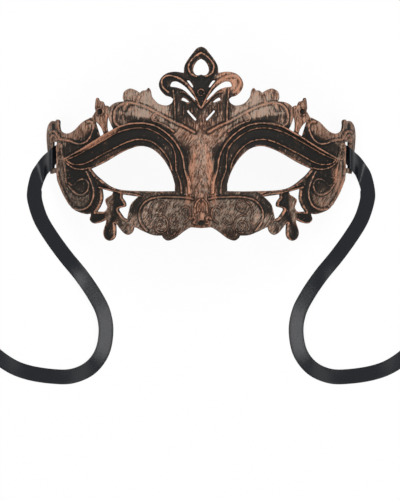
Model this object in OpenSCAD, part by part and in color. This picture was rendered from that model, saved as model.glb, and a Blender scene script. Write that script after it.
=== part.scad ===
// Venetian half-mask: one moulded plastic shell with cut-out ornament and raised lines, and two
// satin ribbons that pass through the side slots and are glued behind the side strips.
// The mask lies on its back: +Z is out of the face, +Y is towards the crest, and the origin is
// in the middle of the shell on the surface that the mask lies on. Millimetres.

/* [Shell] */
// Width of the shell, seen from the front
mask_w = 177; // [150:1:210]
// Height of the shell, from the feet to the crest
mask_h = 110.6; // [92:0.2:132]
// Thickness of the plastic wall
wall = 1.8; // [1.5:0.1:2.5]
// Depth of the face's curve, from the centre back to the temples
face_depth = 62; // [52:1:74]
// Half width at which the curve would turn straight back
face_half_w = 90.5; // [90:0.5:108]
// How much narrower the curve is below the eyes
cheek_tuck = 10; // [6:0.5:12]
// Radius of the forehead and cheek curve, from top to bottom
brow_radius = 250; // [200:5:400]
// Height of the cut across the back, above the curve's own base
rest_cut = 12; // [10:0.5:13]

/* [Nose and eyes] */
// How far the nose stands out at its lower end
nose_h = 14; // [8:0.5:18]
// Half width of the nose
nose_w = 11; // [8:0.5:14]
// Width of each eye opening
eye_w = 48; // [40:0.5:52]
// Height of each eye opening
eye_h = 25.4; // [21:0.2:28]
// Distance between the inner edges of the eye openings
eye_gap = 30.4; // [28:0.2:36]
// How far the brow bands sink in towards the eye openings
socket_depth = 4; // [2:0.5:6]

/* [Raised lines] */
// Height of the raised lines above the shell
line_h = 1; // [0.6:0.1:1.4]
// Width of the raised lines
line_w = 1.6; // [1.2:0.1:2.2]

/* [Ribbons] */
// Width of the ribbon
ribbon_w = 8.5; // [6:0.5:9]
// Thickness of the ribbon
ribbon_t = 0.6; // [0.4:0.1:0.8]
// Width of the side slot, seen from the front
slot_w = 2.5; // [2.2:0.1:3]
// Length of the side slot
slot_l = 15.2; // [14.8:0.2:16]
// Thickness of the glue between ribbon and shell
glue_t = 0.5; // [0.3:0.1:0.8]
// Gap between pieces that touch
seat_gap = 0.1; // [0.05:0.05:0.2]

/* [Hidden] */

drawn_w = 177;
drawn_h = 110.6;
scale_x = mask_w / drawn_w;
scale_y = mask_h / drawn_h;
eye_line = -16;
eye_low = -11;
curve_steps = 2;
// Steps of the face's sheet, and how far round the face and up and down the drawing it reaches
sheet_step = 6.3;
sheet_turn = 0.96;
sheet_low = -41;
sheet_high = 73;
// Height at which the tuck of the cheeks starts, and over how much it comes in
tuck_from = 5;
tuck_over = 18;
// Height of the top of the nose's bridge, and how far below it the nose is at its full height
nose_top = 30;
nose_run = 60;
// Height of the eye sockets' middle, and their reach across and up
socket_y = 1;
socket_reach = [30, 15];
// Height at which the face stands out furthest
brow_mid = 10;
slot_inner_x = 82.6 * scale_x;
slot_mid_y = 9.6 * scale_y;
// The glue pad's size, how far it lies inwards of the slot, and how far its middle is above the slot's
pad_l = 7.5;
pad_w = 8;
pad_inset = 2;
pad_up = 2.3;

// ---- curves -----------------------------------------------------------------------------------

// A point of the smooth curve through b and c, with a and d beyond them
function spline(a, b, c, d, t) =
    0.5 * (2 * b + (c - a) * t + (2 * a - 5 * b + 4 * c - d) * t * t + (3 * b - a - 3 * c + d) * t * t * t);

// An open smooth curve through all the points
function curve(p, steps = curve_steps) = [
    for (i = [0 : len(p) - 2])
        for (k = [0 : steps - 1])
            spline(p[max(i - 1, 0)], p[i], p[i + 1], p[min(i + 2, len(p) - 1)], k / steps),
    p[len(p) - 1]
];

// A closed outline from several curves, with a corner where one ends and the next starts
function outline(curves) = [for (c = curves) each curve(c)];

function mirrored(p) = [for (i = [len(p) - 1 : -1 : 0]) [-p[i][0], p[i][1]]];

// ---- the face's surface ------------------------------------------------------------------------

function half_span(y) =
    face_half_w * scale_x - cheek_tuck * (y < tuck_from ? 1 - exp(-pow((tuck_from - y) / tuck_over, 2)) : 0);

function ramp(v) = let (t = min(max(v, 0), 1)) t * t * (3 - 2 * t);

function nose(x, y) = nose_h * ramp((nose_top - y) / nose_run) * exp(-pow(x / nose_w, 2));

function socket(x, y) =
    let (u = (abs(x) - eye_gap / 2 - eye_w / 2) / socket_reach[0], v = (y - socket_y) / socket_reach[1])
    socket_depth * exp(-u * u - v * v);

// The face at the turn t, from -1 at the left temple to 1 at the right, and the height y
function face(t, y) =
    let (x = half_span(y) * sin(90 * t))
    [x, y, face_depth * cos(90 * t) - rest_cut - pow(y - brow_mid, 2) / (2 * brow_radius) + nose(x, y) - socket(x, y)];

function unit(v) = v / norm(v);

// The face moved out along its own normal
function face_out(t, y, out) =
    face(t, y) + out * unit(cross(face(t + 0.01, y) - face(t - 0.01, y), face(t, y + 0.1) - face(t, y - 0.1)));

// A closed sheet that follows the face between two distances from it
module sheet(low, high, t0, t1, y0, y1) {
    cols = max(2, round((t1 - t0) * 90 / sheet_step));
    rows = max(2, round((y1 - y0) / sheet_step));
    side = (cols + 1) * (rows + 1);
    grid = [for (out = [low, high], j = [0 : rows], i = [0 : cols])
        face_out(t0 + (t1 - t0) * i / cols, y0 + (y1 - y0) * j / rows, out)];
    function at(i, j, s) = s * side + j * (cols + 1) + i;
    top = [for (j = [0 : rows - 1], i = [0 : cols - 1])
        each [[at(i, j, 1), at(i + 1, j + 1, 1), at(i + 1, j, 1)], [at(i, j, 1), at(i, j + 1, 1), at(i + 1, j + 1, 1)]]];
    base = [for (j = [0 : rows - 1], i = [0 : cols - 1])
        each [[at(i, j, 0), at(i + 1, j, 0), at(i + 1, j + 1, 0)], [at(i, j, 0), at(i + 1, j + 1, 0), at(i, j + 1, 0)]]];
    ends = [for (j = [0 : rows - 1])
        each [
            [at(0, j, 0), at(0, j + 1, 0), at(0, j + 1, 1), at(0, j, 1)],
            [at(cols, j, 0), at(cols, j, 1), at(cols, j + 1, 1), at(cols, j + 1, 0)]
        ]];
    edges = [for (i = [0 : cols - 1])
        each [
            [at(i, 0, 0), at(i, 0, 1), at(i + 1, 0, 1), at(i + 1, 0, 0)],
            [at(i, rows, 0), at(i + 1, rows, 0), at(i + 1, rows, 1), at(i, rows, 1)]
        ]];
    polyhedron(grid, concat(top, base, ends, edges));
}

// ---- outlines, right half, eye line at y = 0 ----------------------------------------------------

rim = [
    [[0, 71.3], [2.5, 70.3], [5.2, 67], [7.8, 63.6], [9.5, 60.2], [9.9, 56.4]],
    [[11, 56.5], [15, 57], [19.5, 56.2], [22.8, 53.6], [24.2, 50], [23.2, 46.5], [20.5, 43.6], [17.5, 42.6]],
    [[16, 41.3], [17, 39], [20, 37.7], [24.5, 38.9], [28, 42.6], [28.8, 46], [30, 47.8], [31.5, 46.4]],
    [[32, 46.3], [33.5, 46.2], [35, 45]],
    [[35.5, 45.3], [38, 46.8], [41, 47.4], [44, 45.6], [44.8, 42.3], [44.2, 40.3]],
    [[44, 40.2], [48.2, 39.6], [51, 38.2], [52.6, 36.5]],
    [[53, 37.2], [54, 37.8], [55.1, 37.7], [56.4, 40], [58.3, 40.6], [59.2, 42.2], [60.2, 41.4], [60.8, 36.5]],
    [[60.4, 34.6], [62.4, 31]],
    [[63.5, 30.8], [68, 28.3], [73, 23.4], [77, 21.9], [80.6, 23], [81.6, 26], [81.6, 29], [82.6, 30]],
    [[83.6, 28.8], [85.5, 29.1], [87.6, 26.4], [88.4, 21], [88, 14], [87, 5], [86.2, -1]],
    [[85, -1.1], [83, -0.8], [82.4, -5], [79.8, -11], [76.7, -17], [72.5, -21.8], [66.5, -24], [63, -24]],
    [[63.2, -25], [63.7, -27.2], [61.8, -29.3], [58.5, -29.2], [54.4, -27.4]],
    [[54.4, -29], [56, -34.5], [54.8, -38.2], [51.7, -39.3], [49.2, -36.8], [49, -31.5], [49.3, -29.3]],
    [[48, -30.4], [44.4, -34.8], [41.4, -36], [39.2, -34.2], [38.5, -31.6]],
    [[37, -32], [32, -34.5], [27, -36.3], [22.4, -36.5]],
    [[21.8, -37.8], [19.4, -39.3], [16, -38.3], [11, -34.2], [7, -31.9], [3, -32], [0, -32.3]]
];

crest_hole = [
    [[0, 64.5], [2.2, 63.2], [4, 60.4], [4.4, 57.4], [2.9, 55.2], [1.2, 55], [0, 55.4]]
];

side_holes = [
    // long slit under the volute
    [[[17.7, 49.3], [16.6, 51.2], [13.5, 51.3], [9, 48.4], [5.3, 44.2], [3, 41.1]],
     [[3.6, 40.8], [6, 42.9], [9.5, 46.2], [13.5, 47.9], [17.4, 48.4]]],
    // leaf-shaped slit beside the crest's stem
    [[[8.2, 51.9], [7, 52.1], [5.4, 50.3], [4.4, 48.1]],
     [[5.3, 48.2], [8.2, 51.9]]],
    // short slit under the long one
    [[[11.2, 41], [10.6, 42.2], [8.8, 41.5], [6.6, 39.6]],
     [[8, 39.5], [11.2, 41]]],
    // slot beside the bud's stem
    [[[60.8, 28.7], [58.5, 26.9], [56.6, 24], [55.9, 21.3]],
     [[58.1, 19.9], [58.9, 22.5], [60.8, 28.7]]],
    // slot between the strand and the large lobe
    [[[53.4, 32.2], [52.3, 28.7], [50.4, 24.2]],
     [[52, 23.1], [53.5, 22.9], [54, 27], [53.4, 32.2]]],
    // hole beside the side lobe, outside the hanging ornament
    [[[56.9, -9.7], [50.4, -11.5]],
     [[50.9, -13], [54.6, -15.6], [54.4, -18.2], [53.7, -20.3], [55.4, -22.7], [60, -22.8]],
     [[58, -20], [56.4, -15.5], [56.9, -9.7]]],
    // hole between the hanging ornament and the cheek plate
    [[[45.1, -12.9], [36, -14.2]],
     [[37.4, -15.4], [40.2, -18.6], [41.5, -23], [42.4, -27.3]],
     [[44.4, -26.2], [47.2, -22], [46.4, -20.7], [43.4, -19.8], [43.4, -17.4], [45.1, -15.2]]]
];

// The eye opening in its own box, from its outer corner at 0 to its inner edge at 1, and from
// its lower edge at 0 to its top at 1
eye_shape = [
    [[0, 0.49], [0.17, 0.64], [0.33, 0.81], [0.46, 0.93], [0.6, 1], [0.74, 0.93], [0.87, 0.7], [0.96, 0.4], [1, 0.15]],
    [[1, 0], [0.7, 0], [0.31, 0.05], [0.1, 0.29], [0, 0.49]]
];

brow_line = [[79, 7.5], [71, 12], [60, 17.7], [49, 23.3], [38, 26.6], [30, 26.8], [21, 22.6], [13, 14], [7.5, 4], [6, -6], [6.2, -13]];
brow_inner_line = [[73, 4.6], [66, 4.5], [56, 9.5], [46, 15], [35, 18.4], [27, 16.6], [20, 10.5], [13.5, 0], [11.2, -12]];
lobe_line = [[65, 0], [61.6, -8], [61.6, -15], [64.6, -20.4], [70, -21.4], [74, -19]];
cheek_line = [[5, -14.8], [16, -14.6], [27, -14.8], [32.5, -17.6], [35, -23], [34.6, -28.5], [32, -33]];
scroll_line = [[45.5, 26.4], [49.2, 30], [48.6, 35.5], [44, 38.8], [38, 39.2], [31, 37.2], [22, 32.4], [12, 27.5], [3, 20]];
wing_line = [[80, 19], [74, 17.4], [68, 16], [63.6, 18.6], [61.4, 24], [62.6, 28]];

module mirror_both() {
    children();
    mirror([1, 0]) children();
}

// Drawing at the shell's own width and height
module sized() {
    scale([scale_x, scale_y]) children();
}

// A line of even width along a smooth curve
module line(points, width) {
    p = curve(points, 1);
    for (i = [0 : len(p) - 2])
        hull() {
            translate(p[i]) circle(d = width, $fn = 8);
            translate(p[i + 1]) circle(d = width, $fn = 8);
        }
}

module eye_opening() {
    p = outline(eye_shape);
    translate([eye_gap / 2 + eye_w, eye_low * scale_y]) polygon([for (q = p) [-q[0] * eye_w, q[1] * eye_h]]);
}

// The bar outside the slot is what is left of the shell's edge there
module ribbon_slot() {
    translate([slot_inner_x, slot_mid_y - slot_l / 2]) square([slot_w, slot_l]);
}

module front_view() {
    difference() {
        sized() polygon(concat(outline(rim), mirrored(outline(rim))));
        sized() polygon(concat(outline(crest_hole), mirrored(outline(crest_hole))));
        mirror_both() {
            sized() {
                for (h = side_holes) polygon(outline(h));
                hull() {
                    translate([7.4, 34.3]) circle(d = 1.5, $fn = 8);
                    translate([3.4, 29.9]) circle(d = 1.5, $fn = 8);
                }
            }
            eye_opening();
            ribbon_slot();
        }
    }
}

module raised_lines() {
    mirror_both() sized() {
        for (l = [brow_line, brow_inner_line, lobe_line, cheek_line, scroll_line, wing_line]) line(l, line_w);
        for (c = [[23.5, -19.6, 3], [22.5, -31, 3], [9.2, -23, 3], [66.8, -7.5, 3]])
            translate([c[0], c[1]]) difference() {
                circle(r = c[2] + line_w / 2, $fn = 16);
                circle(r = c[2] - line_w / 2, $fn = 16);
            }
    }
}

// ---- pieces ------------------------------------------------------------------------------------

module whole_sheet(low, high) {
    sheet(low, high, -sheet_turn, sheet_turn, sheet_low * scale_y, sheet_high * scale_y);
}

module mask_shell() {
    color([0.3, 0.2, 0.15])
    translate([0, eye_line * scale_y, 0])
    intersection() {
        translate([-mask_w, -mask_h, 0]) cube([2 * mask_w, 2 * mask_h, 2 * face_depth]);
        union() {
            intersection() {
                whole_sheet(-wall, 0);
                translate([0, 0, -face_depth]) linear_extrude(3 * face_depth) front_view();
            }
            intersection() {
                whole_sheet(-wall / 2, line_h);
                translate([0, 0, -face_depth]) linear_extrude(3 * face_depth) intersection() {
                    raised_lines();
                    front_view();
                }
            }
        }
    }
}

// Glue spot on the inside of the side strip, under the ribbon's end
module glue_pad() {
    color([0.8, 0.77, 0.68])
    translate([0, eye_line * scale_y, 0])
    intersection() {
        whole_sheet(-wall - seat_gap - glue_t, -wall - seat_gap);
        translate([slot_inner_x - pad_w - pad_inset, slot_mid_y + pad_up - pad_l / 2, 0]) cube([pad_w, pad_l, face_depth]);
    }
}

module left_glue_pad() mirror([1, 0, 0]) glue_pad();

module right_glue_pad() glue_pad();

// Route of the ribbon's middle on the right: from behind the side strip, through the slot, over
// the bar, down to the surface, and along it
ribbon_route = [
    [73.5, -3.6, 19.4], [76.5, -4, 15.8], [79.5, -4.6, 11.7], [81.4, -5.3, 8.9], [83.1, -6.3, 8.8], [85.2, -8.4, 9.9],
    [86.6, -9.8, 8.4], [88.2, -11.4, 5.2], [90, -13.6, 2], [92, -16.8, 0.6], [94.2, -21.5, 0.4], [95.2, -27, 0.4], [94.8, -33, 0.4],
    [91.5, -43, 0.4], [85.5, -53, 0.4], [77.5, -64, 0.4], [68.5, -75, 0.4], [61, -86, 0.4], [56, -96, 0.4],
    [54.3, -107, 0.4], [56.6, -119, 0.4], [63.5, -128, 0.4], [74, -132.6, 0.4], [86, -132.6, 0.4], [99, -130.4, 0.4],
    [109, -126.4, 0.4], [119, -119, 0.4], [128, -109, 0.4], [133, -97, 0.4], [134.5, -84, 0.4], [132.5, -71, 0.4],
    [129.5, -58, 0.4], [129.5, -45, 0.4], [132, -33, 0.4]
];
// The rings lie along the slot up to this point, and square across the ribbon after the next few
slant_end = 7;
slant_blend = 4;

function plan_dir(i) =
    let (d = ribbon_route[min(i + 1, len(ribbon_route) - 1)] - ribbon_route[max(i - 1, 0)])
    unit([d[0], d[1], 0]);

// Half of the ribbon's width at a point of the route, as a vector
function half_width(i) =
    let (
        d = plan_dir(i),
        across = [-d[1], d[0], 0],
        slant = [0, 1, 0] / across[1],
        blend = i <= slant_end ? 0 : min(1, (i - slant_end) / slant_blend)
    )
    ribbon_w / 2 * (blend < 1 ? across * blend + slant * (1 - blend) : across);

function rise(i) =
    let (d = ribbon_route[min(i + 1, len(ribbon_route) - 1)] - ribbon_route[max(i - 1, 0)])
    unit(cross(half_width(i), d)) * sign(cross(half_width(i), d)[2]) * ribbon_t / 2;

function ribbon_ring(i) =
    let (p = ribbon_route[i], w = half_width(i), r = rise(i))
    [p - w, p - w * 0.9 - r, p + w * 0.9 - r, p + w, p + w * 0.9 + r, p - w * 0.9 + r];

module ribbon() {
    n = len(ribbon_route);
    m = 6;
    rings = [for (i = [0 : n - 1]) each ribbon_ring(i)];
    walls = [for (i = [0 : n - 2], k = [0 : m - 1])
        [i * m + k, (i + 1) * m + k, (i + 1) * m + (k + 1) % m, i * m + (k + 1) % m]];
    first = [for (k = [0 : m - 1]) k];
    last = [for (k = [m - 1 : -1 : 0]) (n - 1) * m + k];
    color([0.06, 0.06, 0.08]) polyhedron(rings, concat(walls, [first, last]));
}

module left_ribbon() mirror([1, 0, 0]) ribbon();

module right_ribbon() ribbon();

mask_shell();
left_ribbon();
right_ribbon();
left_glue_pad();
right_glue_pad();
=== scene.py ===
"""The looks of a venetian half-mask: its moulded and dry-brushed shell, satin ribbons and glue.

The shell is drawn as it looks from the front, in millimetres with the eye line at y = 0, and laid
over the face's curve. Everything else is in metres, in the frame's own axes.
"""
import math

import bpy
import numpy as np
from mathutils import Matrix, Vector
from mathutils.geometry import delaunay_2d_cdt
from mathutils.kdtree import KDTree


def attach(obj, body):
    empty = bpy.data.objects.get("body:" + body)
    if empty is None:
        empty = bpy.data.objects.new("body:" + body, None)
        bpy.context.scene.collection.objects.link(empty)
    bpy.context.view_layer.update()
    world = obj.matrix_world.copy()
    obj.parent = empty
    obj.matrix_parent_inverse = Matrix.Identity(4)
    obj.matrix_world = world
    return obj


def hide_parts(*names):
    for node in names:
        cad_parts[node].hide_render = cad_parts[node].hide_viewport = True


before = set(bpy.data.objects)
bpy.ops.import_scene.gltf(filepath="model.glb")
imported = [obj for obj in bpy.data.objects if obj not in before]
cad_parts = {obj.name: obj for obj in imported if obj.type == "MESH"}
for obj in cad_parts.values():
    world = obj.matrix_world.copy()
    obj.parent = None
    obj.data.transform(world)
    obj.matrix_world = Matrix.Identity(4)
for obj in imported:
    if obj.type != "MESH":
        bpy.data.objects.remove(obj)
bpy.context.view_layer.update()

bl_info = {
    "name": "Venetian half-mask",
    "version": (1, 0, 0),
    "blender": (4, 5, 0),
    "location": "3D View > Sidebar > Mask",
    "description": "Builds the finish of a venetian half-mask with satin ribbons",
    "category": "Object",
}

MM = 0.001
EYE_LINE = -16.0

# ---- the shell's drawing, right half, millimetres ------------------------------------------------

# The rim from the crest down to the nose, with a corner wherever one curve ends
RIM = [
    [(0, 71.3), (2.5, 70.3), (5.2, 67), (7.8, 63.6), (9.5, 60.2), (9.9, 56.4)],
    [(11, 56.5), (15, 57), (19.5, 56.2), (22.8, 53.6), (24.2, 50), (23.2, 46.5), (20.5, 43.6), (17.5, 42.6)],
    [(16, 41.3), (17, 39), (20, 37.7), (24.5, 38.9), (28, 42.6), (28.8, 46), (30, 47.8), (31.5, 46.4)],
    [(32, 46.3), (33.5, 46.2), (35, 45)],
    [(35.5, 45.3), (38, 46.8), (41, 47.4), (44, 45.6), (44.8, 42.3), (44.2, 40.3)],
    [(44, 40.2), (48.2, 39.6), (51, 38.2), (52.6, 36.5)],
    [(53, 37.2), (54, 37.8), (55.1, 37.7), (56.4, 40), (58.3, 40.6), (59.2, 42.2), (60.2, 41.4), (60.8, 36.5)],
    [(60.4, 34.6), (62.4, 31)],
    [(63.5, 30.8), (68, 28.3), (73, 23.4), (77, 21.9), (80.6, 23), (81.6, 26), (81.6, 29), (82.6, 30)],
    [(83.6, 28.8), (85.5, 29.1), (87.6, 26.4), (88.4, 21), (88, 14), (87, 5), (86.2, -1)],
    [(85, -1.1), (83, -0.8), (82.4, -5), (79.8, -11), (76.7, -17), (72.5, -21.8), (66.5, -24), (63, -24)],
    [(63.2, -25), (63.7, -27.2), (61.8, -29.3), (58.5, -29.2), (54.4, -27.4)],
    [(54.4, -29), (56, -34.5), (54.8, -38.2), (51.7, -39.3), (49.2, -36.8), (49, -31.5), (49.3, -29.3)],
    [(48, -30.4), (44.4, -34.8), (41.4, -36), (39.2, -34.2), (38.5, -31.6)],
    [(37, -32), (32, -34.5), (27, -36.3), (22.4, -36.5)],
    [(21.8, -37.8), (19.4, -39.3), (16, -38.3), (11, -34.2), (7, -31.9), (3, -32), (0, -32.3)],
]
CREST_HOLE = [[(0, 64.5), (2.2, 63.2), (4, 60.4), (4.4, 57.4), (2.9, 55.2), (1.2, 55), (0, 55.4)]]
SLOT = (82.6, 85.1, 2.0, 17.2)
EYE = (15.2, 63.2, -11.0, 14.4)
# The eye opening as shares of its own box, from the outer corner over the top and back
EYE_SHAPE = [
    [(0, 0.49), (0.17, 0.64), (0.33, 0.81), (0.46, 0.93), (0.6, 1), (0.74, 0.93), (0.87, 0.7), (0.96, 0.4), (1, 0.15)],
    [(1, 0), (0.7, 0), (0.31, 0.05), (0.1, 0.29), (0, 0.49)],
]
SIDE_HOLES = [
    # slits of the crest
    [[(17.7, 49.3), (16.6, 51.2), (13.5, 51.3), (9, 48.4), (5.3, 44.2), (3, 41.1)],
     [(3.6, 40.8), (6, 42.9), (9.5, 46.2), (13.5, 47.9), (17.4, 48.4)]],
    [[(8.2, 51.9), (7, 52.1), (5.4, 50.3), (4.4, 48.1)], [(5.3, 48.2), (8.1, 51.8)]],
    [[(11.2, 41), (10.6, 42.2), (8.8, 41.5), (6.6, 39.6)], [(8, 39.5), (11.1, 40.7)]],
    [[(7.9, 34.8), (7.2, 35), (6.8, 34.4), (2.9, 30.2)], [(2.8, 29.5), (3.7, 29.3), (7.9, 34.1)]],
    # slots either side of the bud's stem
    [[(60.8, 28.7), (58.5, 26.9), (56.6, 24), (55.9, 21.3)], [(58.1, 19.9), (58.9, 22.5), (60.7, 28.2)]],
    [[(53.4, 32.2), (52.3, 28.7), (50.4, 24.2)], [(52, 23.1), (53.5, 22.9), (54, 27), (53.5, 31.8)]],
    # holes either side of the hanging ornament
    [[(56.9, -9.7), (50.4, -11.5)],
     [(50.9, -13), (54.6, -15.6), (54.4, -18.2), (53.7, -20.3), (55.4, -22.7), (60, -22.8)],
     [(58, -20), (56.4, -15.5), (56.8, -10.2)]],
    [[(45.1, -12.9), (36, -14.2)],
     [(37.4, -15.4), (40.2, -18.6), (41.5, -23), (42.4, -27.3)],
     [(44.4, -26.2), (47.2, -22), (46.4, -20.7), (43.4, -19.8), (43.4, -17.4), (45.2, -14.8)]],
]

# Raised lines: half width, height, then the points
LINES = [
    # crest: ring round the teardrop, volute, stem and V
    (0.7, 0.9, [(0, 67.6), (2.8, 65.9), (5.4, 63.3), (7, 60.8), (7.1, 58.4), (6.1, 56), (4.2, 54.6), (2.6, 54)]),
    (0.7, 0.9, [(0.6, 36.6), (2.6, 41), (4.8, 45.4), (8, 49.8), (11.4, 52.4), (15, 54), (18.6, 54.5), (21.2, 53.3),
                (22.3, 50.9), (21.8, 48.4), (20.2, 46.4), (18.4, 45)]),
    (0.45, 0.6, [(3.4, 42.4), (6.4, 47), (9.8, 50.9), (13.6, 53.2)]),
    (0.5, 0.8, [(0.4, 36.2), (3.8, 40.2), (6.6, 43), (8.9, 44.7), (11.6, 45.4)]),
    (0.55, 0.7, [(15.8, 46.2), (15.3, 41.6), (14.8, 36), (14.7, 28.6)]),
    (0.4, 0.5, [(9.8, 38), (9.9, 32)]),
    (0.4, 0.45, [(5.2, 37), (5.1, 33.6)]),
    # long scroll line from the large lobe to the top of the nose
    (0.65, 0.9, [(46.6, 25.8), (48.6, 27.6), (49.3, 30), (49.2, 33), (48.2, 35.6), (46.2, 37.7), (43, 39), (39.6, 39.1),
                 (35, 38), (31, 36.5), (27.4, 34.7), (24, 32.8), (20, 30.6), (15, 28.1), (10, 25.8), (4, 22.4)]),
    (0.8, 0.8, [(41.2, 38.8), (42.8, 37.6), (43.7, 35.6)]),
    (0.5, 0.6, [(36.6, 39), (36.2, 41), (35.3, 43)]),
    (0.5, 0.6, [(44.5, 31.6), (44.2, 29.6), (43.8, 28.2)]),
    # small cartouche over the brow
    (0.5, 0.8, [(24.8, 33.2), (27, 32.2), (27.9, 30.4), (27, 28.7), (24.8, 28.1), (21.6, 26.8), (18.4, 24.9), (15.6, 22.8)]),
    # brow bands
    (0.62, 1.1, [(77.4, 7.4), (71, 11), (66, 13.9), (60, 17.7), (55, 20.8), (50, 23.6), (46, 25.6), (41, 27.1), (35, 27.6),
                (30.4, 27.2), (26, 26), (22, 23.8), (18, 20.6), (14.4, 16.6), (11.6, 12), (9.8, 7), (9.1, 2), (8, -2.2),
                (7, -6), (6.5, -12.2)]),
    (0.42, 0.9, [(76.2, 7), (72, 8.7), (67.4, 11), (62, 14.1), (56, 17.6), (50, 21), (45, 23.1), (40, 24.4), (34.6, 24.9),
                 (29, 24), (24.6, 21.9), (20.4, 18.9), (16.8, 15.3), (14.8, 11), (14.2, 6), (13.9, 1), (12.6, -2.6),
                 (11.3, -6.4), (10.8, -12.4)]),
    (0.46, 0.9, [(76.4, 6.8), (74.4, 5.1), (71, 4.2), (67, 4.5), (63, 6), (59, 8.3), (55, 10.5), (50, 13), (46, 15.1),
                (41, 17.2), (36, 18.4), (31, 18), (27.4, 16.8), (24.6, 14.8), (21.2, 11.4), (18, 6.4), (16.4, 1)]),
    (0.46, 0.9, [(77.4, 7), (76.6, 5.4), (74.6, 3.6), (72, 2.2), (69, 1.6), (66, 1.7), (63.6, 2.4)]),
    # wing, horn and side strip
    (0.6, 0.8, [(85.9, 22.4), (84.6, 23.3), (83, 22.9), (81.8, 21.2), (80.2, 18.6), (77, 18.2), (74, 17.4), (71.6, 16.4),
                (69, 16), (66.6, 16.4), (64.6, 17.6), (63, 19.8), (61.8, 22.4), (61.2, 25), (61.6, 27.4), (63, 28.6),
                (64.6, 28.4)]),
    (0.5, 0.6, [(85.6, 17), (85.4, 19.4), (84.6, 21), (83.2, 20.4), (82.4, 18.4)]),
    (0.55, 0.7, [(82.2, 14.4), (81.9, 9), (82, 3), (81.6, -3), (80, -8.4), (77.4, -14), (74.6, -18.4)]),
    (0.5, 0.7, [(82, 15.4), (80.8, 16), (79.8, 15.2), (79.2, 12), (78.5, 8), (77.8, 4), (77.2, 0), (76.8, -4.4)]),
    # lower side lobe
    (0.6, 0.9, [(65.2, 0.4), (63.2, -3.6), (61.5, -8), (60.9, -12), (61.4, -15.6), (63.2, -19), (65.8, -20.9), (69.2, -21.5),
                (71.8, -20.9)]),
    (0.55, 0.7, [(70, -5), (67.4, -4), (64.9, -4.8), (63.8, -7.4), (64.6, -10.8), (67.2, -12.8), (70.2, -12.6), (73.2, -10.4),
                 (75.4, -7.4), (76.8, -4.8)]),
    (0.4, 0.5, [(76.6, -3.4), (74.8, -3.3), (73, -2.8)]),
    (0.4, 0.5, [(75.4, -5.8), (73.8, -7.5), (72.2, -7.4), (71.2, -6)]),
    # under the eye
    (0.55, 0.8, [(58, -8.7), (54, -9.7), (50, -10.7), (45, -12), (39, -12.6), (34.6, -13.8)]),
    (0.4, 0.5, [(56.4, -7.2), (51.6, -9), (46, -10.3), (40, -11), (36.6, -11.6), (33.8, -12.6)]),
    # cheek plate: border and scrolls
    (0.5, 1.0, [(4.6, -15.6), (8, -14.8), (15, -14.4), (22, -14.3), (26.4, -14.9), (30.2, -16.2), (33.3, -19), (34.9, -22.6),
                 (35.1, -25.6), (34.4, -28.4), (32.6, -31.4), (30.6, -33.6)]),
    (0.32, 0.75, [(28.4, -27.4), (29, -24.6), (29, -21.6), (27.8, -18.7), (25.6, -17), (23, -16.6), (21, -17.6), (20.2, -19.6),
                 (21, -21.6), (23, -22.5), (25, -21.8)]),
    (0.32, 0.7, [(25.6, -24.8), (22.8, -24.8), (20.2, -26.4), (19, -29), (19.3, -32), (21, -34.2), (23.4, -34.6), (25.6, -33.2),
                (26, -30.8), (24.8, -28.8), (22.6, -28.4), (21.2, -30), (21.6, -32)]),
    (0.32, 0.7, [(11.8, -23), (11, -21.2), (9, -20), (6.9, -20.8), (5.8, -22.9), (5.9, -25.2), (7.2, -27.6), (9.4, -29.3)]),
    (0.28, 0.6, [(15, -24.8), (16.6, -25.9), (17.4, -27.7), (16.4, -29.4), (14.2, -28.6), (13, -26.6)]),
    (0.28, 0.6, [(12, -29.6), (14.4, -31), (17, -31), (18.8, -33), (18.6, -35.6), (16.2, -36.4), (14.6, -34.8)]),
    # ornament on the nose
    (0.45, 0.8, [(3.4, -23.2), (3.2, -20), (2.3, -17.4), (0.8, -15.9)]),
    (0.35, 0.6, [(1.9, -22.2), (1.7, -19.6), (0.9, -17.6), (0.5, -20), (0.9, -22.4)]),
    (0.45, 0.7, [(5.6, -27), (4, -25.8), (3, -27.4), (4.2, -29), (2.6, -29.6)]),
]
# Rings: centre, radius, half width, height
RINGS = [
    (0, 45, 1.8, 0.45, 0.7), (25.6, 30.6, 1.2, 0.4, 0.6), (22.8, 29.2, 0.7, 0.35, 0.5), (80.7, 13, 1.1, 0.35, 0.5),
    (80, 8.1, 1.0, 0.4, 0.6), (22.9, -31.2, 0.9, 0.3, 0.5), (23, -19.6, 1.0, 0.3, 0.5), (8.9, -23.6, 0.9, 0.3, 0.5),
    (57.8, 34.2, 1.9, 0.4, 0.5),
]
# Sunk places: centre, half axes, depth
DENTS = [(57.7, 34.2, 1.2, 2.0, 1.0), (0, -29.2, 2.0, 1.3, 0.8), (0, 45, 0.8, 0.8, 0.4), (84.3, 25.6, 0.8, 2.2, 0.3)]

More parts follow.
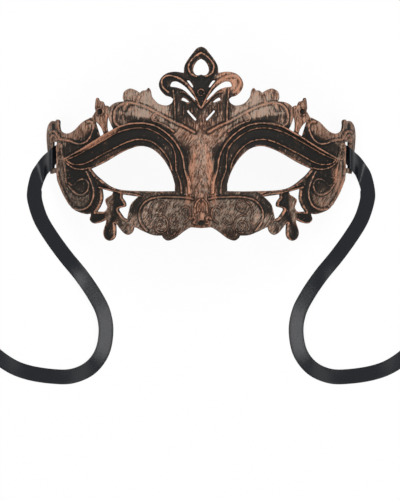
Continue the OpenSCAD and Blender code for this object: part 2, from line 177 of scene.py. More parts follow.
# Brushed paint, with a painted highlight on the brow's top and painted shade under it: side (0 for both),
# centre, half axes, turn in degrees, cover from 0 to 1, share of copper, slant of the brush from 0, straight up the
# mask, to 1, across the cheeks
PAINT = [
    ("crest", 0, 0, 62, 10, 11, 0, 0.16, 0.4, 0),
    ("left volute", -1, 20, 51, 7, 7, 0, 0.08, 0.3, 0),
    ("right volute", 1, 19, 51, 8, 7, 0, 0.86, 0.75, 0),
    ("crest core", 0, 0, 47, 6, 8, 0, -0.1, 0.4, 0),
    ("left stem", -1, 8, 35, 7.5, 7, 0, 0.12, 0.5, 0),
    ("right stem", 1, 8, 36, 7.5, 8, 0, 0.34, 0.5, 0),
    ("stem foot", 0, 0, 27, 9, 4, 0, 0.36, 0.7, 0),
    ("notch", 0, 26, 38, 9, 4.5, 25, 0.8, 0.12, 0),
    ("notch root", 0, 15.5, 39, 3, 6, 0, 0.25, 0.3, 0),
    ("round lobe", 0, 40, 43.5, 6, 4.5, 0, 0.66, 0.3, 0),
    ("large lobe", 0, 45, 33.5, 7, 6, 0, 0.6, 0.25, 0),
    # painted highlight: a pale patch standing in for the light on the brow's bulge
    ("brow top painted highlight", 0, 32, 33.4, 7, 3.4, 20, 0.85, 0.1, 0),
    ("cartouche", 0, 21, 28.6, 7, 2.2, 25, 0.62, 0.2, 0),
    # painted shade: a dark strip standing in for the shade under the brow's bulge
    ("painted shade under brow", 0, 33, 29.2, 12, 1.6, 8, 0.06, 0.3, 0),
    ("bud", 0, 57, 35, 5, 7, 0, 0.56, 0.55, 0),
    ("bud stem", 0, 55, 26, 2.6, 7, 0, 0.62, 0.75, 0),
    ("wing", 0, 70, 24.5, 9, 4.4, -30, 0.66, 0.5, 0),
    ("wing foot", 0, 73, 13.6, 7, 2.6, -25, 0.12, 0.3, 0),
    ("horn", 0, 85, 22, 4, 9, 0, 0.55, 0.4, 0),
    ("strip", 0, 80.6, 0, 3.4, 16, 0, 0.6, 0.25, 0),
    ("bar", 0, 87, 6, 2, 9, 0, 0.42, 0.4, 0),
    ("left band gap", -1, 58, 18, 10, 1.1, -30, 0.92, 0.95, 0),
    ("right band gap", 1, 58, 18, 12, 1.1, -30, 0.02, 0.8, 0),
    ("brow band", 0, 44, 20, 27, 5, 0, -0.15, 0.6, 0),
    ("brow band end", 0, 68, 7.6, 9, 3.4, -28, -0.15, 0.6, 0),
    ("brow band side", 0, 14, 5, 4.4, 14, 14, 0.1, 0.5, 0),
    ("nose top", 0, 9, 21, 6, 5, 20, 0.62, 0.6, 1),
    ("nose", 0, 0, 6, 4.6, 16, 0, 0.6, 0.45, 0.1),
    ("nose side", 0, 5.6, -3, 1.3, 12, 8, 0.75, 0.95, 0),
    ("nose foot", 0, 0, -24, 5, 8, 0, 0.5, 0.8, 0),
    ("under the eye", 0, 28, -12.4, 12, 1.4, 0, 0.34, 0.2, 1),
    ("left cheek", -1, 19, -24, 13, 9, 0, 0.54, 0.1, 1),
    ("right cheek", 1, 19, -24, 13, 9, 0, 0.54, 0.1, 1),
    ("cheek side", 0, 35.5, -29, 4.6, 6, 35, 0.6, 0.2, 1),
    ("cheek corner", 0, 37.4, -19, 2.8, 4, 0, 0.08, 0.3, 0.9),
    ("cheek foot", 0, 18, -36.5, 5, 3, 0, 0.22, 0.5, 1),
    ("left lobe", -1, 72, -15, 6, 7, 25, 0.42, 0.1, 0.9),
    ("right lobe", 1, 72, -15, 6, 7, 25, 0.55, 0.35, 0.9),
    ("right lobe edge", 1, 79, -7, 2.4, 9, 18, 0.85, 0.8, 0.9),
    ("lobe core", 0, 68.6, -4, 7, 7, 0, 0.0, 0.3, 0.1),
    ("lobe rim", 0, 60, -14, 2.4, 8, 0, 0.12, 0.3, 0.1),
    ("hanging", 0, 53, -24, 9, 14, 0, -0.05, 0.6, 0.9),
    ("hanging stem", 0, 52.4, -21, 1.6, 7, 8, 0.55, 0.3, 0.5),
    ("hanging foot", 0, 45.6, -29.5, 3, 6, 40, 0.4, 0.15, 1),
]
# Where the cut edges carry a raised, painted rim: centre, half axes, strength
RIMMED = [
    (52, -25, 14, 17, 1.0), (39, 2, 30, 16, 0.9), (41, -23, 6, 12, 0.8), (0, 60, 12, 13, 0.5), (11, 46, 12, 9, 0.35),
    (59, -17, 6, 10, 0.7), (70, -22, 9, 5, 0.5), (8, -33, 16, 5, 0.4),
]

# Route of the right ribbon's middle, millimetres in the frame's axes
ROUTE = [
    (73.5, -3.6, 19.4), (76.5, -4, 15.8), (79.5, -4.6, 11.7), (81.4, -5.3, 8.9), (83.1, -6.3, 8.8), (85.2, -8.4, 9.9),
    (86.6, -9.8, 8.4), (88.2, -11.4, 5.2), (90, -13.6, 2), (92, -16.8, 0.6), (94.2, -21.5, 0.4), (95.2, -27, 0.4),
    (94.8, -33, 0.4), (91.5, -43, 0.4), (85.5, -53, 0.4), (77.5, -64, 0.4), (68.5, -75, 0.4), (61, -86, 0.4),
    (56, -96, 0.4), (54.3, -107, 0.4), (56.6, -119, 0.4), (63.5, -128, 0.4), (74, -132.6, 0.4), (86, -132.6, 0.4),
    (99, -130.4, 0.4), (109, -126.4, 0.4), (119, -119, 0.4), (128, -109, 0.4), (133, -97, 0.4), (134.5, -84, 0.4),
    (132.5, -71, 0.4), (129.5, -58, 0.4), (129.5, -45, 0.4), (132, -33, 0.4),
]
# Stretches that stand on one edge: the slope, where each starts and over how much it rises, and
# where it ends and over how much it falls, in metres along the ribbon
BANKED = [(0.29, 0.083, 0.026, 0.184, 0.03), (0.27, 0.19, 0.03, 0.264, 0.02)]
SLANT_END = 7
SLANT_BLEND = 4


# ---- curves and the face's surface ---------------------------------------------------------------

def spline(points, step):
    """An open smooth curve through all the points, as an array with a point about every step."""
    p = np.array(points, float)
    out = []
    for i in range(len(p) - 1):
        a, b, c, d = p[max(i - 1, 0)], p[i], p[i + 1], p[min(i + 2, len(p) - 1)]
        n = max(1, round(float(np.linalg.norm(c - b)) / step))
        t = (np.arange(n) / n)[:, None]
        out.append(0.5 * (2 * b + (c - a) * t + (2 * a - 5 * b + 4 * c - d) * t**2 + (3 * b - a - 3 * c + d) * t**3))
    return np.vstack(out + [p[-1:]])


def closed(curves, step, symmetric=False):
    """A closed outline from curves that meet at corners, with its mirrored half if it has one."""
    p = np.vstack([spline(c, step) for c in curves])
    if symmetric:
        p = np.vstack([p, p[::-1] * (-1, 1)])
    keep = np.linalg.norm(p - np.roll(p, 1, axis=0), axis=1) > 0.02
    return p[keep]


def eye_outline():
    x0, x1, y0, y1 = EYE
    return [[(x1 - u * (x1 - x0), y0 + v * (y1 - y0)) for u, v in curve] for curve in EYE_SHAPE]


def outlines(step):
    """Every closed outline of the front view: the rim first, then the holes."""
    x0, x1, y0, y1 = SLOT
    slot = [[(x0, y0), (x1, y0)], [(x1, y0 + 0.1), (x1, y1)], [(x1 - 0.1, y1), (x0, y1)], [(x0, y1 - 0.1), (x0, y0 + 0.1)]]
    found = [closed(RIM, step, True), closed(CREST_HOLE, step, True)]
    for hole in SIDE_HOLES + [eye_outline(), slot]:
        p = closed(hole, step)
        found += [p, p * (-1, 1)]
    return found


def soft_step(t):
    t = np.clip(t, 0, 1)
    return t * t * (3 - 2 * t)


def half_span(y):
    return 90.5 - 10 * np.where(y < 5, 1 - np.exp(-(((5 - y) / 18) ** 2)), 0)


def face_height(x, y):
    """Height of the face over the surface that the mask lies on, in millimetres."""
    curve = 62 * np.sqrt(np.clip(1 - (x / half_span(y)) ** 2, 0.0004, 1)) - 12 - (y - 10) ** 2 / 500
    nose = 14 * soft_step((30 - y) / 60) * np.exp(-((x / 11) ** 2))
    socket = 4 * np.exp(-(((np.abs(x) - 39.2) / 30) ** 2) - ((y - 1) / 15) ** 2)
    return curve + nose - socket


def on_face(p, out, rounding=0):
    """Points of the front view laid on the face, moved out along its normal, and down where their
    cut edge is rounded, in metres. A steep edge is rounded less, so that it stays in its place."""
    x, y = p[:, 0], p[:, 1]
    e = 0.25
    slope_x = (face_height(x + e, y) - face_height(x - e, y)) / (2 * e)
    slope_y = (face_height(x, y + e) - face_height(x, y - e)) / (2 * e)
    normal = np.stack([-slope_x, -slope_y, np.ones(len(p))], 1)
    normal /= np.linalg.norm(normal, axis=1)[:, None]
    out = out - rounding * normal[:, 2] ** 2
    place = np.stack([x, y + EYE_LINE, face_height(x, y)], 1) + normal * out[:, None]
    place[:, 2] = np.maximum(place[:, 2], 0.05)
    return place * MM


# ---- the shell -----------------------------------------------------------------------------------

def inside(p, polygons):
    """Which points lie inside the first polygon and outside the rest, by counting crossings."""
    crossed = np.zeros(len(p), bool)
    for poly in polygons:
        for (x0, y0), (x1, y1) in zip(poly, np.roll(poly, -1, axis=0)):
            if y0 == y1:
                continue
            spans = (p[:, 1] > y0) != (p[:, 1] > y1)
            crossed ^= spans & (p[:, 0] < x0 + (p[:, 1] - y0) * (x1 - x0) / (y1 - y0))
    return crossed


def nearest(p, samples):
    """Distance from each point to the nearest sample, and that sample's index."""
    tree = KDTree(len(samples))
    for i, s in enumerate(samples):
        tree.insert((s[0], s[1], 0), i)
    tree.balance()
    found = [tree.find((q[0], q[1], 0)) for q in p]
    return np.array([f[2] for f in found]), np.array([f[1] for f in found])


def triangulate(polygons, spacing):
    """Points and triangles that fill the front view, and its boundary edges as pairs of points."""
    lo, hi = polygons[0].min(0), polygons[0].max(0)
    rows = np.arange(lo[1], hi[1], spacing * 0.866)
    cols = np.arange(lo[0], hi[0], spacing)
    grid = np.array([(x + (j % 2) * spacing / 2, y) for j, y in enumerate(rows) for x in cols])
    grid = grid[inside(grid, polygons)]
    edge_points = np.vstack(polygons)
    dense = np.vstack([spline(np.vstack([q, q[:1]]), 0.15) for q in polygons])
    away, _ = nearest(grid, dense)
    points = np.vstack([edge_points, grid[away > spacing * 0.55]])
    edges, start = [], 0
    for q in polygons:
        edges += [(start + i, start + (i + 1) % len(q)) for i in range(len(q))]
        start += len(q)
    verts, _, faces, _, _, _ = delaunay_2d_cdt([Vector(q) for q in points], edges, [], 1, 1e-4)
    verts = np.array([(v.x, v.y) for v in verts])
    faces = np.array([f for f in faces if len(f) == 3])
    faces = faces[inside(verts[faces].mean(1), polygons)]
    a, b, c = (verts[faces[:, i]] for i in range(3))
    turn = (b[:, 0] - a[:, 0]) * (c[:, 1] - a[:, 1]) - (b[:, 1] - a[:, 1]) * (c[:, 0] - a[:, 0])
    faces[turn < 0] = faces[turn < 0][:, ::-1]
    return verts, faces, dense


def falloff(p, cx, cy, rx, ry, turn=0.0):
    """1 at an ellipse's middle, about a half at its rim, and 0 well outside."""
    a = math.radians(turn)
    x, y = np.abs(p[:, 0]) - cx, p[:, 1] - cy
    u = (x * math.cos(a) + y * math.sin(a)) / rx
    v = (-x * math.sin(a) + y * math.cos(a)) / ry
    return np.exp(-0.7 * (u * u + v * v) ** 2)


def relief(p, dense, line_height):
    """At each point: the moulded relief's height, how far its cut edge is rounded down, and how much
    it is a raised line and how much a groove, from 0 to 1."""
    samples, width, height = [], [], []
    for half, tall, points in LINES:
        s = spline(points, 0.2)
        samples.append(s)
        width += [half] * len(s)
        height += [tall] * len(s)
    for cx, cy, r, half, tall in RINGS:
        a = np.linspace(0, 2 * math.pi, 40)
        s = np.stack([cx + r * np.cos(a), cy + r * np.sin(a)], 1)
        samples.append(s)
        width += [half] * len(s)
        height += [tall] * len(s)
    samples = np.vstack(samples)
    width, height = np.array(width), np.array(height)
    folded = np.abs(p[:, 0])
    d, i = nearest(np.stack([folded, p[:, 1]], 1), samples)
    w = width[i]
    bump = np.where(d < 1.6 * w, np.cos(np.clip(d / (1.6 * w), 0, 1) * math.pi / 2) ** 2, 0)
    high = line_height * height[i] * bump
    high -= 0.28 * height[i] * np.exp(-(((d - 2.3 * w) / (0.7 * w)) ** 2))
    edge, _ = nearest(p, dense)
    rim = np.max([s * falloff(p, cx, cy, rx, ry) for cx, cy, rx, ry, s in RIMMED], axis=0)
    rim_bump = np.exp(-(((edge - 0.75) / 0.5) ** 2))
    high += 0.6 * rim * rim_bump - 0.3 * rim * np.exp(-(((edge - 2.1) / 0.7) ** 2))
    rounding = 0.75 * np.clip(1 - edge / 0.8, 0, 1) ** 2
    sunk = 0.6 * np.exp(-(((d - 1.9 * w) / (0.7 * w)) ** 2)) * np.clip(height[i], 0, 1)
    for cx, cy, rx, ry, deep in DENTS:
        dent = falloff(p, cx, cy, rx, ry)
        high -= deep * dent
        sunk = np.maximum(sunk, dent)
    line = np.clip(1.25 - d / (0.75 * w), 0, 1) * np.clip(0.3 + 0.75 * height[i], 0, 1)
    raised = np.maximum(line, rim * np.exp(-(((edge - 0.5) / 0.35) ** 2)))
    raised = np.maximum(raised, 0.5 * np.clip(1 - edge / 0.5, 0, 1))
    return high, rounding, np.clip(raised, 0, 1), sunk


def paint(p):
    """The brushed paint's cover, share of copper and slant at each point, with a painted highlight on the brow's top
    and painted shade under it.
    """
    weight = np.full(len(p), 0.03)
    total = weight[:, None] * np.array([0.3, 0.4, 0.2])
    for _, side, cx, cy, rx, ry, turn, cover, copper, slant in PAINT:
        w = falloff(p, cx, cy, rx, ry, turn) * 40 / (rx * ry)
        if side:
            w = w * np.clip(0.5 + side * p[:, 0] / 3, 0, 1)
        weight = weight + w
        total = total + w[:, None] * np.array([cover, copper, slant])
    return total / weight[:, None]


def mesh_object(name, verts, faces, material, smooth=True):
    mesh = bpy.data.meshes.new(name)
    mesh.from_pydata(verts, [], faces)
    mesh.validate()
    mesh.polygons.foreach_set("use_smooth", [smooth] * len(mesh.polygons))
    obj = bpy.data.objects.new(name, mesh)
    bpy.context.scene.collection.objects.link(obj)
    mesh.materials.append(material)
    return obj


def boundary(faces):
    """The directed edges that only one triangle has."""
    pairs = np.vstack([faces[:, [0, 1]], faces[:, [1, 2]], faces[:, [2, 0]]])
    key = pairs[:, 0].astype(np.int64) * 10**7 + pairs[:, 1]
    back = pairs[:, 1].astype(np.int64) * 10**7 + pairs[:, 0]
    return pairs[~np.isin(key, back)]


def build_shell(settings):
    front, faces, dense = triangulate(outlines(0.5), settings.spacing)
    high, rounding, raised, sunk = relief(front, dense, settings.line_height)
    cover = paint(front)
    cover[:, 0] -= 0.75 * sunk
    top = on_face(front, high, rounding)
    rear = on_face(front, -settings.wall / MM)
    n = len(front)
    edges = boundary(faces)
    used = np.unique(edges)
    shared = np.full(n, -1)
    keep = coarse_rear(front, faces, used, settings.rear_spacing)
    rear_points, rear_faces = keep
    shared[used] = np.arange(len(used))
    verts = np.vstack([top, rear[used], on_face(rear_points[len(used):], -settings.wall / MM)])
    walls = [(b, a, n + shared[a], n + shared[b]) for a, b in edges]
    all_faces = faces.tolist() + walls + (rear_faces[:, ::-1] + n).tolist()
    obj = mesh_object("mask_shell_moulding", verts.tolist(), all_faces, antique_copper(settings))
    extra = len(verts) - n
    for name, values in (("raised", raised), ("cover", cover[:, 0]), ("copper", cover[:, 1]), ("slant", cover[:, 2])):
        data = obj.data.attributes.new(name, "FLOAT", "POINT").data
        data.foreach_set("value", np.concatenate([values, np.zeros(extra)]))
    obj.data.set_sharp_from_angle(angle=math.radians(60))
    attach(obj, "root")
    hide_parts("mask_shell")
    return obj


def coarse_rear(front, faces, used, spacing):
    """The plain inner side: the same boundary points, and wider triangles between them."""
    lo, hi = front.min(0), front.max(0)
    grid = np.array([(x, y) for y in np.arange(lo[1], hi[1], spacing) for x in np.arange(lo[0], hi[0], spacing)])
    rings = outlines(0.5)
    grid = grid[inside(grid, rings)]
    away, _ = nearest(grid, front[used])
    points = np.vstack([front[used], grid[away > spacing * 0.5]])
    place = {int(v): i for i, v in enumerate(used)}
    edges = [(place[int(a)], place[int(b)]) for a, b in boundary(faces)]
    verts, _, found, orig, _, _ = delaunay_2d_cdt([Vector(q) for q in points], edges, [], 1, 1e-6)
    order = [o[0] for o in orig]
    verts = np.array([(v.x, v.y) for v in verts])
    found = np.array([f for f in found if len(f) == 3])
    found = found[inside(verts[found].mean(1), rings)]
    a, b, c = (verts[found[:, i]] for i in range(3))
    turn = (b[:, 0] - a[:, 0]) * (c[:, 1] - a[:, 1]) - (b[:, 1] - a[:, 1]) * (c[:, 0] - a[:, 0])
    found[turn < 0] = found[turn < 0][:, ::-1]
    return points, np.array(order)[found]


# ---- shader node groups and materials -------------------------------------------------------------

def new_group(name, inputs, outputs):
    group = bpy.data.node_groups.new(name, "ShaderNodeTree")
    for label, kind, default in inputs:
        socket = group.interface.new_socket(label, in_out="INPUT", socket_type=kind)
        socket.default_value = default
    for label, kind in outputs:
        group.interface.new_socket(label, in_out="OUTPUT", socket_type=kind)
    return group, group.nodes.new("NodeGroupInput"), group.nodes.new("NodeGroupOutput")


def math_node(tree, operation, a, b=None, clamp=False):
    node = tree.nodes.new("ShaderNodeMath")
    node.operation = operation
    node.use_clamp = clamp
    for socket, value in zip(node.inputs, (a, b)):
        if value is None:
            continue
        if isinstance(value, (int, float)):
            socket.default_value = value
        else:
            tree.links.new(value, socket)
    return node.outputs[0]


def noise(tree, vector, scale, detail=4.0, roughness=0.6):
    node = tree.nodes.new("ShaderNodeTexNoise")
    node.inputs["Scale"].default_value = scale
    node.inputs["Detail"].default_value = detail
    node.inputs["Roughness"].default_value = roughness
    tree.links.new(vector, node.inputs["Vector"])
    return node.outputs["Fac"]


def turned(tree, vector, angle, stretch):
    """The place turned clockwise by an angle in degrees, then drawn out by a factor along each axis."""
    node = tree.nodes.new("ShaderNodeMapping")
    node.vector_type = "TEXTURE"
    node.inputs["Rotation"].default_value = (0, 0, math.radians(angle))
    node.inputs["Scale"].default_value = stretch
    tree.links.new(vector, node.inputs["Vector"])
    return node.outputs["Vector"]


def mix_value(tree, factor, a, b):
    node = tree.nodes.new("ShaderNodeMix")
    node.data_type = "FLOAT"
    for label, value in (("Factor", factor), ("A", a), ("B", b)):
        if isinstance(value, (int, float)):
            node.inputs[label].default_value = value
        else:
            tree.links.new(value, node.inputs[label])
    return node.outputs[0]


def mix_colour(tree, factor, a, b):
    node = tree.nodes.new("ShaderNodeMix")
    node.data_type = "RGBA"
    for index, value in ((0, factor), (6, a), (7, b)):
        if isinstance(value, bpy.types.NodeSocket):
            tree.links.new(value, node.inputs[index])
        elif index == 0:
            node.inputs[index].default_value = value
        else:
            node.inputs[index].default_value = (*value, 1)
    return node.outputs[2]


def attribute(tree, name):
    node = tree.nodes.new("ShaderNodeAttribute")
    node.attribute_name = name
    return node.outputs["Fac"]


def brush_group():
    """Dry-brush strokes: how much of the paint has caught, from a cover and a slant."""
    group, given, out = new_group(
        "Dry brush",
        [("Vector", "NodeSocketVector", (0, 0, 0)), ("Cover", "NodeSocketFloat", 0.5), ("Raised", "NodeSocketFloat", 0.0),
         ("Slant", "NodeSocketFloat", 0.0), ("Stroke scale", "NodeSocketFloat", 900.0)],
        [("Caught", "NodeSocketFloat"), ("Grain", "NodeSocketFloat"), ("Tint", "NodeSocketFloat")],
    )
    t = group
    place = given.outputs["Vector"]
    straight, across = [
        mix_value(t, 0.4, noise(t, turned(t, place, angle, (1, 9, 1)), 1300, 2),
                  noise(t, turned(t, place, angle - 5, (1, 6, 1)), 3000, 2))
        for angle in (-4, -34)
    ]
    stroke = mix_value(t, given.outputs["Slant"], straight, across)
    blotch = noise(t, place, 300, 3)
    fine = noise(t, place, 2600, 2)
    value = math_node(t, "ADD", math_node(t, "MULTIPLY", stroke, 0.7), math_node(t, "MULTIPLY", blotch, 0.2))
    value = math_node(t, "ADD", value, math_node(t, "MULTIPLY", fine, 0.1))
    cover = math_node(t, "MULTIPLY_ADD", given.outputs["Cover"], 0.24)
    cover.node.inputs[2].default_value = 0.37
    caught = math_node(t, "MULTIPLY", math_node(t, "SUBTRACT", cover, value), 9)
    caught = math_node(t, "ADD", caught, 0.4, clamp=True)
    worn = math_node(t, "SUBTRACT", mix_value(t, 0.5, noise(t, place, 700, 2), blotch), 0.5)
    edge = math_node(t, "ADD", given.outputs["Raised"], math_node(t, "MULTIPLY", worn, 3.0))
    edge = math_node(t, "SUBTRACT", edge, 0.36, clamp=True)
    edge = math_node(t, "MULTIPLY", edge, 1.6, clamp=True)
    t.links.new(math_node(t, "MAXIMUM", caught, edge), out.inputs["Caught"])
    t.links.new(value, out.inputs["Grain"])
    flecks = mix_value(t, 0.5, blotch, noise(t, turned(t, place, -20, (1, 5, 1)), 1500, 2))
    t.links.new(math_node(t, "MULTIPLY_ADD", flecks, 3.4), out.inputs["Tint"])
    out.inputs["Tint"].links[0].from_node.inputs[2].default_value = -1.2
    return group


def material_with(name):
    mat = bpy.data.materials.new(name)
    mat.use_nodes = True
    tree = mat.node_tree
    return mat, tree, tree.nodes["Principled BSDF"]


def object_place(tree):
    return tree.nodes.new("ShaderNodeTexCoord").outputs["Object"]


def bump(tree, height, strength, distance, shader):
    node = tree.nodes.new("ShaderNodeBump")
    node.inputs["Strength"].default_value = strength
    node.inputs["Distance"].default_value = distance
    tree.links.new(height, node.inputs["Height"])
    tree.links.new(node.outputs["Normal"], shader.inputs["Normal"])


def antique_copper(s):
    """Black moulded plastic, dry-brushed with a grey-brown paint and copper on the raised lines."""
    mat, t, shader = material_with("Antique copper")
    brush = t.nodes.new("ShaderNodeGroup")
    brush.node_tree = brush_group()
    t.links.new(object_place(t), brush.inputs["Vector"])
    t.links.new(attribute(t, "cover"), brush.inputs["Cover"])
    t.links.new(attribute(t, "raised"), brush.inputs["Raised"])
    t.links.new(attribute(t, "slant"), brush.inputs["Slant"])
    caught, grain = brush.outputs["Caught"], brush.outputs["Grain"]
    raised = attribute(t, "raised")
    tint = math_node(t, "ADD", attribute(t, "copper"), math_node(t, "MULTIPLY", raised, 0.55))
    tint = math_node(t, "ADD", tint, math_node(t, "SUBTRACT", brush.outputs["Tint"], 0.5), clamp=True)
    coat = mix_colour(t, tint, s.grey_paint, s.copper_paint)
    light = mix_colour(t, math_node(t, "MULTIPLY", grain, 0.5), coat, s.pale_paint)
    wash = mix_colour(t, math_node(t, "MULTIPLY", attribute(t, "cover"), 0.22, clamp=True), s.base, coat)
    t.links.new(mix_colour(t, caught, wash, light), shader.inputs["Base Color"])
    t.links.new(mix_value(t, caught, 0.56, 0.44), shader.inputs["Roughness"])
    shader.inputs["Specular IOR Level"].default_value = 0.12
    t.links.new(math_node(t, "MULTIPLY", caught, 0.14), shader.inputs["Metallic"])
    bump(t, math_node(t, "ADD", grain, math_node(t, "MULTIPLY", caught, 0.3)), 0.5, 0.00025, shader)
    return mat


def satin(s):
    """Black satin: fine ribs across the ribbon and fine threads, with a soft sheen."""
    mat, t, shader = material_with("Black satin")
    uv = t.nodes.new("ShaderNodeUVMap")
    uv.uv_map = "Weave"
    ribs = t.nodes.new("ShaderNodeTexWave")
    ribs.inputs["Scale"].default_value = 1
    ribs.inputs["Distortion"].default_value = 0.4
    ribs.bands_direction = "X"
    t.links.new(turned(t, uv.outputs["UV"], 0, (1 / 900, 1 / 4, 1)), ribs.inputs["Vector"])
    threads = noise(t, turned(t, uv.outputs["UV"], 0, (1 / 150, 1 / 2600, 1)), 1, 2)
    depth = math_node(t, "ADD", math_node(t, "MULTIPLY", ribs.outputs["Fac"], 0.5), threads)
    colour = mix_colour(t, math_node(t, "MULTIPLY", threads, 0.6), s.colour, [min(1, c * 2.4) for c in s.colour])
    t.links.new(colour, shader.inputs["Base Color"])
    t.links.new(mix_value(t, threads, 0.2, 0.26), shader.inputs["Roughness"])
    shader.inputs["Specular IOR Level"].default_value = 0.2
    bump(t, depth, 0.08, 0.0001, shader)
    return mat


def hot_glue():
    """Milky hot-melt glue."""
    mat, t, shader = material_with("Hot glue")
    clouds = noise(t, object_place(t), 500, 3)
    t.links.new(mix_colour(t, clouds, (0.62, 0.55, 0.4), (0.8, 0.74, 0.6)), shader.inputs["Base Color"])
    t.links.new(mix_value(t, clouds, 0.2, 0.35), shader.inputs["Roughness"])
    shader.inputs["Subsurface Weight"].default_value = 0.2
    shader.inputs["Subsurface Scale"].default_value = 0.002
    bump(t, clouds, 0.4, 0.0004, shader)
    return mat


# ---- ribbons --------------------------------------------------------------------------------------

def ribbon_frames(width):
    """For fine stations of the route: place, half-width vector and how far along the route, in metres."""
    route = np.array(ROUTE)
    plan = np.array([route[min(i + 1, len(route) - 1)] - route[max(i - 1, 0)] for i in range(len(route))])
    plan[:, 2] = 0
    plan /= np.linalg.norm(plan, axis=1)[:, None]
    across = np.stack([-plan[:, 1], plan[:, 0], np.zeros(len(plan))], 1)
    slant = np.stack([np.zeros(len(plan)), 1 / across[:, 1], np.zeros(len(plan))], 1)
    blend = np.clip((np.arange(len(route)) - SLANT_END) / SLANT_BLEND, 0, 1)[:, None]
    half = width / 2 * (across * blend + np.where(blend < 1, slant, 0) * (1 - blend))
    both = spline(np.hstack([route, half / MM]), 1.2)
    place, half = both[:, :3] * MM, both[:, 3:] * MM
    far = np.concatenate([[0], np.cumsum(np.linalg.norm(np.diff(place, axis=0), axis=1))])
    return place, half, far


def build_ribbon(name, side, s, material):
    place, half, far = ribbon_frames(s.width)
    across = 12
    step = np.gradient(place, axis=0)
    up = np.cross(half, step)
    up /= np.linalg.norm(up, axis=1)[:, None]
    up *= np.sign(up[:, 2:3])
    # The loose stretch banks: its outer edge stands a little off the surface
    bank = s.bank * sum(k * soft_step((far - a) / b) * soft_step((c - far) / d) for k, a, b, c, d in BANKED)
    verts, uv = [], []
    for layer in (1, -1):
        for i in range(len(place)):
            for k in range(across + 1):
                u = 2 * k / across - 1
                lift = up[i] * layer * s.thickness / 2 * (1 - 0.35 * abs(u) ** 6)
                tilt = Vector((0, 0, bank[i] * (1 + u) / 2 * s.width))
                verts.append(Vector(place[i] + half[i] * u + lift) + tilt)
                uv.append((far[i], (u + 1) / 2 * s.width))
    n, m = len(place), across + 1
    at = lambda layer, i, k: layer * n * m + i * m + k
    faces = []
    for i in range(n - 1):
        for k in range(across):
            faces.append((at(0, i, k), at(0, i, k + 1), at(0, i + 1, k + 1), at(0, i + 1, k)))
            faces.append((at(1, i, k), at(1, i + 1, k), at(1, i + 1, k + 1), at(1, i, k + 1)))
        faces.append((at(0, i, 0), at(0, i + 1, 0), at(1, i + 1, 0), at(1, i, 0)))
        faces.append((at(0, i, across), at(1, i, across), at(1, i + 1, across), at(0, i + 1, across)))
    for k in range(across):
        faces.append((at(0, 0, k), at(1, 0, k), at(1, 0, k + 1), at(0, 0, k + 1)))
        faces.append((at(0, n - 1, k), at(0, n - 1, k + 1), at(1, n - 1, k + 1), at(1, n - 1, k)))
    points = [Vector((side * v.x, v.y, max(v.z, 0.00004))) for v in verts]
    if side > 0:
        faces = [f[::-1] for f in faces]
    obj = mesh_object(name, points, faces, material)
    layer = obj.data.uv_layers.new(name="Weave")
    for loop in obj.data.loops:
        layer.data[loop.index].uv = uv[loop.vertex_index]
    obj.data.set_sharp_from_angle(angle=math.radians(50))
    path = [Vector((side * p[0], p[1], p[2])) for p in place]
    return obj, path, float(far[-1])


# ---- settings and operators -----------------------------------------------------------------------

def colour_property(name, description, default):
    return bpy.props.FloatVectorProperty(name=name, description=description, subtype="COLOR", size=3, min=0, max=1, default=default)


class ShellSettings(bpy.types.PropertyGroup):
    spacing: bpy.props.FloatProperty(name="Relief spacing", description="Distance between the relief's points, in millimetres", default=0.38, min=0.3, max=2)
    rear_spacing: bpy.props.FloatProperty(name="Inner spacing", description="Distance between the inner side's points, in millimetres", default=1.6, min=0.8, max=4)
    wall: bpy.props.FloatProperty(name="Wall", description="Thickness of the plastic", default=0.0018, unit="LENGTH")
    line_height: bpy.props.FloatProperty(name="Line height", description="Height of a raised line, in millimetres", default=1.0, min=0.2, max=1.5)
    base: colour_property("Plastic", "Colour of the moulded plastic", (0.009, 0.0082, 0.0068))
    grey_paint: colour_property("Grey-brown paint", "Paint brushed over the lobes and cheeks", (0.262, 0.196, 0.152))
    copper_paint: colour_property("Copper paint", "Paint on the raised lines", (0.485, 0.188, 0.098))
    pale_paint: colour_property("Pale paint", "Where the paint lies thickest", (0.5, 0.38, 0.3))


class RibbonSettings(bpy.types.PropertyGroup):
    width: bpy.props.FloatProperty(name="Width", description="Width of the ribbon", default=0.0085, unit="LENGTH")
    thickness: bpy.props.FloatProperty(name="Thickness", description="Thickness of the ribbon", default=0.0005, unit="LENGTH")
    bank: bpy.props.FloatProperty(name="Bank", description="How far the loose stretches stand on one edge, as a share of the drawn slope", default=1.0, min=0, max=1.5)
    colour: colour_property("Satin", "Colour of the satin", (0.0035, 0.0042, 0.0062))


class StageSettings(bpy.types.PropertyGroup):
    floor: colour_property("Floor", "Colour of the floor", (0.9, 0.9, 0.9))
    key: bpy.props.FloatProperty(name="Key light", description="Strength of the large soft light", default=10.5, min=0, unit="POWER")
    fill: bpy.props.FloatProperty(name="Fill light", description="Strength of the fill light", default=6.5, min=0, unit="POWER")
    view_height: bpy.props.FloatProperty(name="Height in view", description="What the camera takes in from top to bottom", default=0.285, unit="LENGTH")
    distance: bpy.props.FloatProperty(name="Camera distance", description="Distance of the camera above the surface", default=8.0, unit="LENGTH")
    sky: bpy.props.FloatProperty(name="Sky", description="Strength of the even light from all round", default=0.24, min=0)


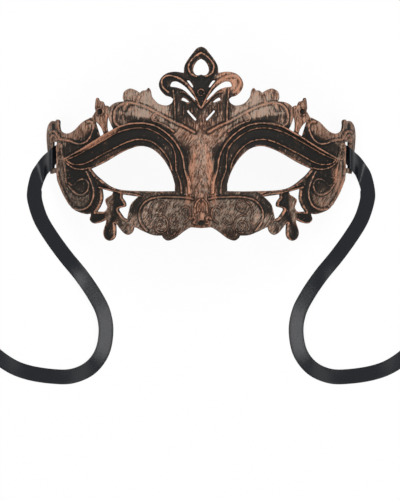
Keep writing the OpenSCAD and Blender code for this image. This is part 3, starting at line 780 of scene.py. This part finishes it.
class MASK_OT_stage(bpy.types.Operator):
    """Adds the camera, floor and lights"""
    bl_idname = "mask.stage"
    bl_label = "Add stage"

    def execute(self, context):
        s = context.scene.mask_stage
        scene = context.scene
        scene.view_settings.view_transform = "Standard"
        camera = bpy.data.cameras.new("Camera")
        camera.sensor_width = 36
        camera.lens = 36 * (s.distance - 0.02) / s.view_height
        camera.clip_end = 20
        seat = bpy.data.objects.new("Camera", camera)
        seat.location = (-0.0006, -0.0605, s.distance)
        scene.collection.objects.link(seat)
        scene.camera = seat
        floor = mesh_object("Floor", [(-4, -4, 0), (4, -4, 0), (4, 4, 0), (-4, 4, 0)], [(0, 1, 2, 3)], floor_material(s))
        scene.world = even_sky(s.sky)
        for name, place, width, depth, power in (
            ("Key", (0.3, 0.8, 1.4), 0.7, 0.7, s.key),
            ("Left side", (-0.74, -0.12, 1.3), 0.9, 0.26, s.fill), ("Right side", (0.74, -0.12, 1.3), 0.9, 0.26, s.fill),
            ("Front", (0, -0.75, 1.3), 0.6, 0.6, s.fill * 0.3),
        ):
            light = bpy.data.lights.new(name, "AREA")
            light.shape = "RECTANGLE"
            light.size = width
            light.size_y = depth
            light.energy = power
            lamp = bpy.data.objects.new(name, light)
            lamp.location = place
            lamp.rotation_euler = (Vector((0, -0.02, 0.02)) - Vector(place)).to_track_quat("-Z", "Y").to_euler()
            scene.collection.objects.link(lamp)
        return {"FINISHED"}


def background_seen(tree):
    """1 for a ray that shows the background: to the camera, off a glossy surface or through glass."""
    path = tree.nodes.new("ShaderNodeLightPath")
    seen = math_node(tree, "ADD", path.outputs["Is Camera Ray"], path.outputs["Is Glossy Ray"])
    return math_node(tree, "ADD", seen, path.outputs["Is Transmission Ray"], clamp=True)


def even_sky(strength):
    """Faint even light from all round, which shows as white past the floor's edge."""
    world = bpy.data.worlds.new("World")
    world.use_nodes = True
    t = world.node_tree
    background = t.nodes["Background"]
    background.inputs["Color"].default_value = (1, 1, 1, 1)
    t.links.new(mix_value(t, background_seen(t), strength, 1.0), background.inputs["Strength"])
    return world


def floor_material(s):
    """Pale floor that shows white to the camera and keeps the object's shadow."""
    mat, t, shader = material_with("Floor")
    shader.inputs["Base Color"].default_value = (*s.floor, 1)
    shader.inputs["Roughness"].default_value = 0.9
    glow = t.nodes.new("ShaderNodeEmission")
    mix = t.nodes.new("ShaderNodeMixShader")
    t.links.new(math_node(t, "MULTIPLY", background_seen(t), 0.93), mix.inputs[0])
    t.links.new(shader.outputs[0], mix.inputs[1])
    t.links.new(glow.outputs[0], mix.inputs[2])
    t.links.new(mix.outputs[0], t.nodes["Material Output"].inputs["Surface"])
    return mat


class MASK_OT_shell(bpy.types.Operator):
    """Builds the moulded shell with its relief and paint"""
    bl_idname = "mask.shell"
    bl_label = "Build shell"

    def execute(self, context):
        build_shell(context.scene.mask_shell)
        return {"FINISHED"}


class MASK_OT_ribbons(bpy.types.Operator):
    """Builds both satin ribbons"""
    bl_idname = "mask.ribbons"
    bl_label = "Build ribbons"

    def execute(self, context):
        s = context.scene.mask_ribbon
        material = satin(s)
        for name, side in (("left_ribbon", -1), ("right_ribbon", 1)):
            obj, path, length = build_ribbon(name + "_satin", side, s, material)
            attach(obj, "root")
            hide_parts(name)
        return {"FINISHED"}


class MASK_OT_glue(bpy.types.Operator):
    """Gives the glue spots their material"""
    bl_idname = "mask.glue"
    bl_label = "Finish glue spots"

    def execute(self, context):
        glue = hot_glue()
        for name in ("left_glue_pad", "right_glue_pad"):
            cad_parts[name].data.materials.clear()
            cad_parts[name].data.materials.append(glue)
        return {"FINISHED"}


class MASK_PT_panel(bpy.types.Panel):
    bl_label = "Venetian half-mask"
    bl_idname = "MASK_PT_panel"
    bl_space_type = "VIEW_3D"
    bl_region_type = "UI"
    bl_category = "Mask"

    def draw(self, context):
        for operator, settings in (("mask.stage", "mask_stage"), ("mask.shell", "mask_shell"), ("mask.ribbons", "mask_ribbon"),
                                   ("mask.glue", None)):
            self.layout.operator(operator)
            if settings:
                group = getattr(context.scene, settings)
                for name in group.bl_rna.properties.keys():
                    if name not in ("rna_type", "name"):
                        self.layout.prop(group, name)


CLASSES = (ShellSettings, RibbonSettings, StageSettings, MASK_OT_stage, MASK_OT_shell, MASK_OT_ribbons, MASK_OT_glue, MASK_PT_panel)


def register():
    for c in CLASSES:
        bpy.utils.register_class(c)
    bpy.types.Scene.mask_shell = bpy.props.PointerProperty(type=ShellSettings)
    bpy.types.Scene.mask_ribbon = bpy.props.PointerProperty(type=RibbonSettings)
    bpy.types.Scene.mask_stage = bpy.props.PointerProperty(type=StageSettings)


def unregister():
    for name in ("mask_shell", "mask_ribbon", "mask_stage"):
        delattr(bpy.types.Scene, name)
    for c in reversed(CLASSES):
        bpy.utils.unregister_class(c)


def main():
    register()
    bpy.ops.mask.stage()
    bpy.ops.mask.ribbons()
    bpy.ops.mask.shell()
    bpy.ops.mask.glue()


if __name__ == "__main__":
    main()
